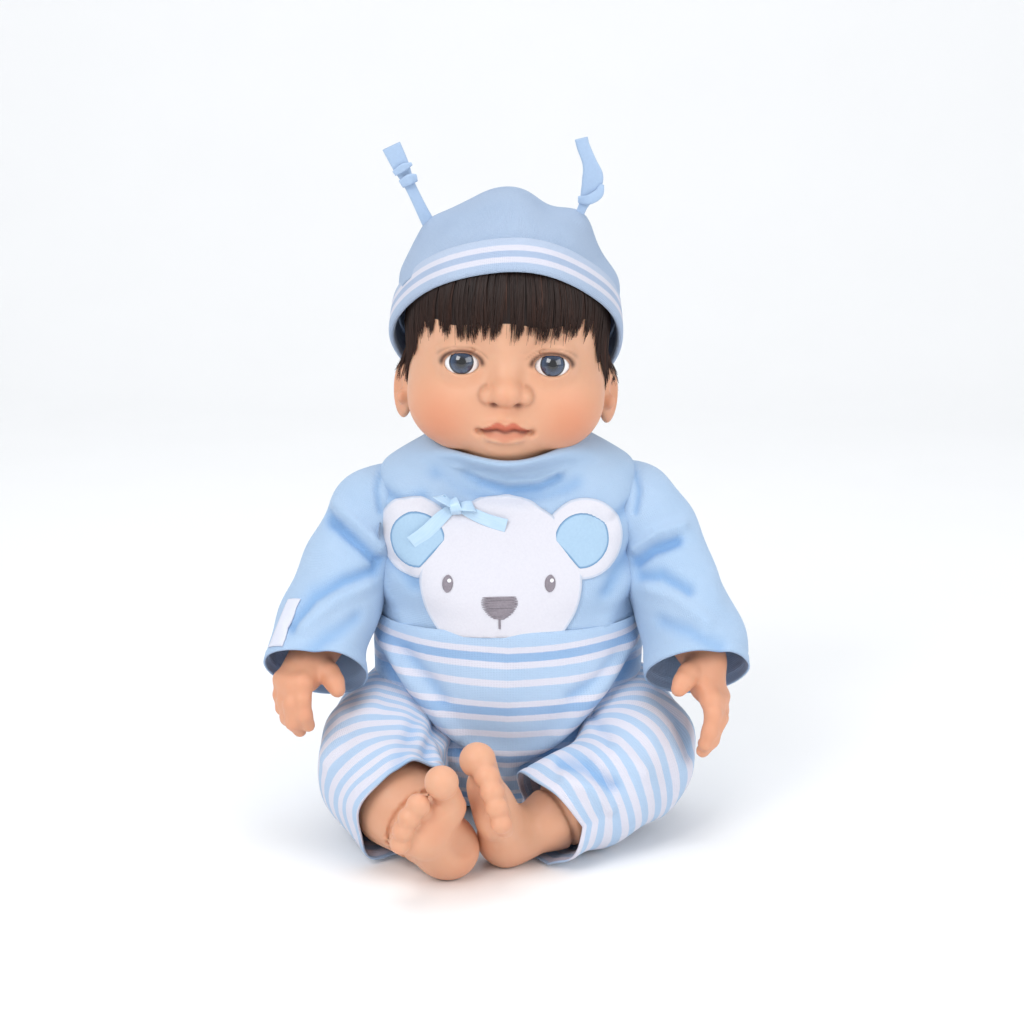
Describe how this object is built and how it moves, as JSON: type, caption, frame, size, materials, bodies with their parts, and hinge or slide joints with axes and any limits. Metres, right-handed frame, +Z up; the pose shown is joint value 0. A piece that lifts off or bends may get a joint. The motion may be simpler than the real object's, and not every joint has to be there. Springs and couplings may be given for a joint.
{
  "type": "interactive baby doll",
  "caption": "Seated soft-bodied baby doll in a striped romper and knotted beanie, with turning vinyl head and limbs and a press-to-talk voice module in its tummy.",
  "frame": {"origin": "on the floor, under the middle of the seat, below the neck's axis", "axes": "+Z up, the doll faces -Y, its own left side is +X"},
  "size_m": [0.2295, 0.2016, 0.3146],
  "materials": {
    "jersey_blue": "matte",
    "jersey_stripe": "matte",
    "jersey_skin": "matte",
    "velour_white": "matte",
    "satin_ribbon": "satin",
    "label_cloth": "satin",
    "stuffing": "matte",
    "hair_fibre": "satin",
    "vinyl_skin": "satin",
    "eye_plastic": "gloss",
    "case_plastic": "satin",
    "button_plastic": "gloss",
    "black_plastic": "matte",
    "tie_plastic": "satin",
    "pellets": "matte",
    "board": "satin",
    "steel": "satin",
    "battery_jacket": "gloss",
    "wire_jacket": "satin"
  },
  "bodies": {
    "torso": {"stuffed_body": "stuffing", "pellet_bag": "pellets", "romper_top": "jersey_blue", "romper_seat": "jersey_stripe", "collar": "jersey_blue", "bear_face": "velour_white", "bear_ears": "velour_white", "back_closure": "velour_white", "ribbon_bow": "satin_ribbon", "case_front": "case_plastic", "case_rear": "case_plastic", "battery_door": "case_plastic", "battery_door_screw": "steel", "batteries": "battery_jacket", "battery_contacts": "steel", "battery_leads": "wire_jacket", "circuit_board": "board", "press_switch": "black_plastic", "speaker": "black_plastic", "speaker_leads": "wire_jacket", "button_spring": "steel", "case_screws": "steel", "neck_casing": "jersey_skin", "neck_tie": "tie_plastic", "shoulder_pin_left": "case_plastic", "shoulder_pin_right": "case_plastic", "hip_pin_left": "case_plastic", "hip_pin_right": "case_plastic"},
    "head": {"head_shell": "vinyl_skin", "eye_left": "eye_plastic", "eye_right": "eye_plastic", "eye_cup_left": "case_plastic", "eye_cup_right": "case_plastic", "hair": "hair_fibre"},
    "hat": {"hat_crown": "jersey_blue", "hat_band": "jersey_stripe", "hat_tie_left": "jersey_blue", "hat_tie_right": "jersey_blue"},
    "arm_left": {"arm_left": "vinyl_skin", "arm_disc_left": "case_plastic", "sleeve_left": "jersey_blue"},
    "arm_right": {"arm_right": "vinyl_skin", "arm_disc_right": "case_plastic", "sleeve_right": "jersey_blue", "sleeve_label": "label_cloth"},
    "leg_left": {"leg_left": "vinyl_skin", "leg_disc_left": "case_plastic", "trouser_leg_left": "jersey_stripe"},
    "leg_right": {"leg_right": "vinyl_skin", "leg_disc_right": "case_plastic", "trouser_leg_right": "jersey_stripe"},
    "voice_button": {"voice_button": "button_plastic"},
    "power_switch": {"power_switch": "black_plastic"}
  },
  "joints": [
    {"name": "neck_turn", "type": "hinge", "parent": "torso", "child": "head", "pos_m": [0, 0, 0.156], "axis": [0, 0, 1], "range_deg": [-60, 60]},
    {"name": "hat_lift", "type": "slide", "parent": "head", "child": "hat", "axis": [0, 0.5736, 0.8192], "range_m": [0, 0.09]},
    {"name": "shoulder_swing_left", "type": "hinge", "parent": "torso", "child": "arm_left", "pos_m": [0.062, 0, 0.146], "axis": [-1, 0, 0], "range_deg": [-8, 110]},
    {"name": "shoulder_swing_right", "type": "hinge", "parent": "torso", "child": "arm_right", "pos_m": [-0.062, 0, 0.146], "axis": [-1, 0, 0], "range_deg": [-8, 110]},
    {"name": "hip_swing_left", "type": "hinge", "parent": "torso", "child": "leg_left", "pos_m": [0.026, -0.012, 0.036], "axis": [1, 0, 0], "range_deg": [-5, 80]},
    {"name": "hip_swing_right", "type": "hinge", "parent": "torso", "child": "leg_right", "pos_m": [-0.026, -0.012, 0.036], "axis": [1, 0, 0], "range_deg": [-5, 80]},
    {"name": "voice_button_press", "type": "slide", "parent": "torso", "child": "voice_button", "axis": [0, 1, 0], "range_m": [0, 0.0019], "stiffness_N_per_m": 800, "springref_m": -0.001, "deforming": ["button_spring"]},
    {"name": "power_switch_slide", "type": "slide", "parent": "torso", "child": "power_switch", "axis": [0, 0, 1], "range_m": [0, 0.0028]}
  ]
}
